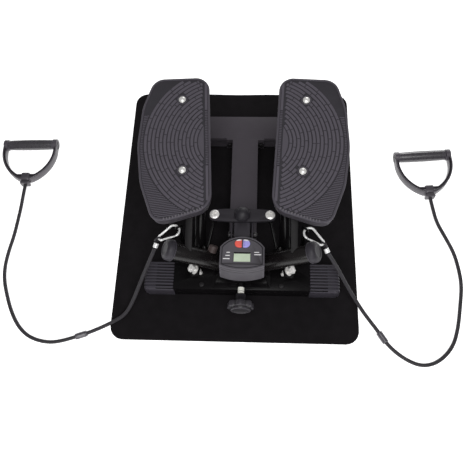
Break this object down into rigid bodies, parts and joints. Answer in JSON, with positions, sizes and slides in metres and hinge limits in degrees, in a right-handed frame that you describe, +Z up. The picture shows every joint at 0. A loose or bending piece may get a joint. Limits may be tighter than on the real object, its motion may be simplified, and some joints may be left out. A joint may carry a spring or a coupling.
{
  "type": "twist stepper",
  "caption": "Low twist stepper: two ribbed foot plates on sloping pivot tubes, linked by a rocker, with a step counter, oil dampers, a height knob and two elastic pull cords, on a mat.",
  "frame": {"origin": "underside of the mat, on the machine's middle plane, midway between the mat's front and rear edges", "axes": "+X to the user's right across the machine, +Y to the rear from the console end toward the heels, +Z up"},
  "size_m": [1.0122, 0.6408, 0.2076],
  "materials": {
    "mat_rubber": "matte, fine grain",
    "black_paint": "semi-gloss powder coat",
    "charcoal_paint": "matte powder coat",
    "grey_plastic": "moulded texture",
    "black_rubber": "matte",
    "zinc": "zinc plated",
    "chrome": "polished",
    "oil_steel": "ground",
    "nylon": "natural",
    "console_plastic": "satin",
    "display": "pale green display",
    "red_plastic": "gloss",
    "blue_plastic": "gloss",
    "board": "solder mask",
    "magnet_case": "satin",
    "knob_plastic": "satin",
    "band_rubber": "woven cover",
    "handle_plastic": "satin",
    "grip_plastic": "semi-gloss"
  },
  "bodies": {
    "base": {"floor_mat": "mat_rubber", "front_stabilizer": "black_paint", "rear_stabilizer": "charcoal_paint", "stabilizer_end_caps": "black_rubber", "center_beam": "charcoal_paint", "hex_bolts": "oil_steel", "stop_bolts": "zinc", "axle_bracket": "black_paint", "pivot_axles": "oil_steel", "pivot_bushings": "nylon", "rocker_guide": "black_paint", "rocker_carrier": "black_paint", "rocker_pivot_bolt": "zinc", "damper_lower_pins": "zinc", "console_case": "console_plastic", "console_bezel": "console_plastic", "lcd_panel": "display", "circuit_board": "board", "coin_cell": "oil_steel", "reed_sensor": "nylon", "cross_head_screws": "oil_steel", "band_beads": "grip_plastic", "band_ferrules": "chrome", "band_loops": "band_rubber", "band_anchors": "black_paint", "handle_frames": "handle_plastic", "handle_blocks": "handle_plastic", "left_band": "band_rubber", "right_band": "band_rubber", "left_carabiner": "chrome", "right_carabiner": "chrome"},
    "left_arm": {"left_pivot_tube": "black_paint", "left_tube_cap": "black_rubber", "left_pedal_arm": "black_paint", "left_pedal": "grey_plastic", "left_arm_fasteners": "zinc", "sensor_magnet": "magnet_case"},
    "right_arm": {"right_pivot_tube": "black_paint", "right_tube_cap": "black_rubber", "right_pedal_arm": "black_paint", "right_pedal": "grey_plastic", "right_arm_fasteners": "zinc"},
    "rocker": {"rocker_plate": "black_paint", "rocker_dome": "black_rubber", "rocker_end_bolts": "zinc"},
    "left_rod": {"left_tie_rod": "black_paint"},
    "right_rod": {"right_tie_rod": "black_paint"},
    "left_cylinder": {"left_damper_cylinder": "black_paint"},
    "right_cylinder": {"right_damper_cylinder": "black_paint"},
    "left_piston": {"left_damper_rod": "chrome"},
    "right_piston": {"right_damper_rod": "chrome"},
    "knob": {"adjuster_knob": "knob_plastic", "adjuster_screw": "zinc"},
    "nut_block": {"adjuster_block": "oil_steel"},
    "button_red": {"red_button": "red_plastic"},
    "button_blue": {"blue_button": "blue_plastic"},
    "left_gate": {"left_carabiner_gate": "chrome"},
    "right_gate": {"right_carabiner_gate": "chrome"},
    "left_grip": {"left_handle_grip": "grip_plastic"},
    "right_grip": {"right_handle_grip": "grip_plastic"}
  },
  "joints": [
    {"name": "left_pedal_step", "type": "hinge", "parent": "base", "child": "left_arm", "pos_m": [-0.1, -0.154, 0.1], "axis": [0.8387, 0, -0.5446], "range_deg": [-12, 12]},
    {"name": "right_pedal_step", "type": "hinge", "parent": "base", "child": "right_arm", "pos_m": [0.1, -0.154, 0.1], "axis": [0.8387, 0, 0.5446], "range_deg": [-12.1, 12.1]},
    {"name": "rocker_swing", "type": "hinge", "parent": "base", "child": "rocker", "pos_m": [0, -0.07, 0.1], "axis": [0, 0, 1], "range_deg": [-7, 7]},
    {"name": "left_rod_swivel", "type": "hinge", "parent": "rocker", "child": "left_rod", "pos_m": [-0.055, -0.07, 0.093], "axis": [-0.5305, -0.3117, 0.7883], "range_deg": [-10.5, 10.5]},
    {"name": "right_rod_swivel", "type": "hinge", "parent": "rocker", "child": "right_rod", "pos_m": [0.055, -0.07, 0.093], "axis": [-0.5305, 0.3117, -0.7883], "range_deg": [-10.5, 10.5]},
    {"name": "left_damper_tilt", "type": "hinge", "parent": "base", "child": "left_cylinder", "pos_m": [-0.088, -0.126, 0.038], "axis": [0.7947, 0.0205, -0.6066], "range_deg": [-13, 13]},
    {"name": "right_damper_tilt", "type": "hinge", "parent": "base", "child": "right_cylinder", "pos_m": [0.088, -0.126, 0.038], "axis": [0.7947, -0.0205, 0.6066], "range_deg": [-13, 13]},
    {"name": "left_piston_slide", "type": "slide", "parent": "left_cylinder", "child": "left_piston", "axis": [0.0237, 0.8665, 0.4985], "range_m": [-0.011, 0.011]},
    {"name": "right_piston_slide", "type": "slide", "parent": "right_cylinder", "child": "right_piston", "axis": [-0.0237, 0.8665, 0.4985], "range_m": [-0.011, 0.011]},
    {"name": "knob_turn", "type": "hinge", "parent": "base", "child": "knob", "pos_m": [0, -0.23, 0.06], "axis": [0, -1, 0], "range_deg": [-1080, 1080]},
    {"name": "adjuster_slide", "type": "slide", "parent": "base", "child": "nut_block", "axis": [0, 1, 0], "range_m": [-0.0038, 0.0038]},
    {"name": "red_button_press", "type": "slide", "parent": "base", "child": "button_red", "axis": [0, -0.2571, -0.9664], "range_m": [0, 0.0012], "stiffness_N_per_m": 300},
    {"name": "blue_button_press", "type": "slide", "parent": "base", "child": "button_blue", "axis": [0, -0.2571, -0.9664], "range_m": [0, 0.0012], "stiffness_N_per_m": 300},
    {"name": "left_gate_swing", "type": "hinge", "parent": "base", "child": "left_gate", "pos_m": [-0.15357, -0.12771, 0.11251], "axis": [-0.0785, -0.0454, 0.9959], "range_deg": [0, 25], "stiffness_Nm_per_rad": 0.01, "springref_deg": -11.46},
    {"name": "right_gate_swing", "type": "hinge", "parent": "base", "child": "right_gate", "pos_m": [0.14959, -0.132, 0.11243], "axis": [-0.0726, 0.0582, -0.9957], "range_deg": [0, 25], "stiffness_Nm_per_rad": 0.01, "springref_deg": -11.46},
    {"name": "left_grip_spin", "type": "hinge", "parent": "base", "child": "left_grip", "pos_m": [-0.4942, 0.1465, 0.0125], "axis": [0.9996, 0.0297, 0], "continuous": true},
    {"name": "right_grip_spin", "type": "hinge", "parent": "base", "child": "right_grip", "pos_m": [0.3932, 0.1262, 0.0125], "axis": [0.9969, 0.0785, 0], "continuous": true}
  ],
  "couplings": [
    {"joint": "right_pedal_step", "follows": "left_pedal_step", "ratio": -1},
    {"joint": "rocker_swing", "follows": "left_pedal_step", "ratio": -0.5473},
    {"joint": "left_rod_swivel", "follows": "left_pedal_step", "ratio": 0.8295},
    {"joint": "right_rod_swivel", "follows": "left_pedal_step", "ratio": -0.8295},
    {"joint": "left_damper_tilt", "follows": "left_pedal_step", "ratio": 1.0353},
    {"joint": "right_damper_tilt", "follows": "left_pedal_step", "ratio": -1.0353},
    {"joint": "left_piston_slide", "follows": "left_pedal_step", "m_per_rad": 0.0512},
    {"joint": "right_piston_slide", "follows": "left_pedal_step", "m_per_rad": -0.0512},
    {"joint": "adjuster_slide", "follows": "knob_turn", "m_per_rad": 0.00019894}
  ]
}
